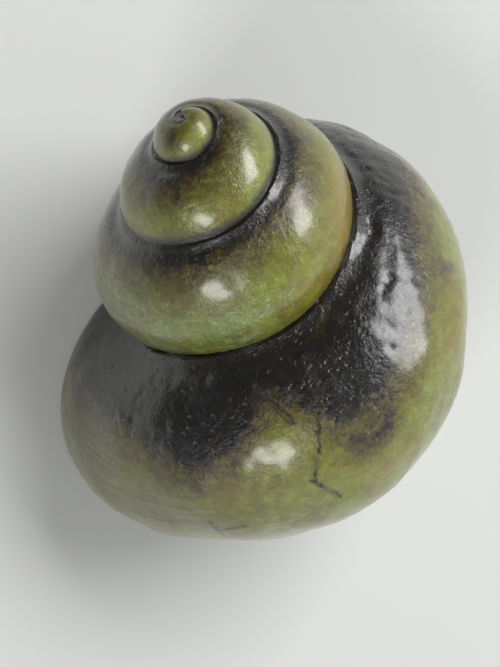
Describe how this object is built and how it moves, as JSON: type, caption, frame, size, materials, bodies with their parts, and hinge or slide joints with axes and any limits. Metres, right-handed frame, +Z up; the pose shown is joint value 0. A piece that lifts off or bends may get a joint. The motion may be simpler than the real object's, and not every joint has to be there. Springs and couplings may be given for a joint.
{
  "type": "turban shell",
  "caption": "Heavy, smooth, rounded sea-snail shell with a low coiled spire, lying on its lip with the hollow mouth facing down.",
  "frame": {"origin": "on the resting plane, under the middle of the shell's bounding box", "axes": "+Z up from the table, which is also the plane of the lip and the mouth; +Y toward the spire, whose coil axis leans back 49 degrees from +Z; +X to the right when the shell is seen with its spire at the back"},
  "size_m": [0.1609, 0.1551, 0.1119],
  "materials": {
    "shell": "hard glossy shell, dark brown and pitted beside each suture, olive to yellow-green round the outside of each whorl, with faint mint strokes; pearly inside the mouth"
  },
  "bodies": {
    "root": {"turban_shell": "shell"}
  },
  "joints": []
}
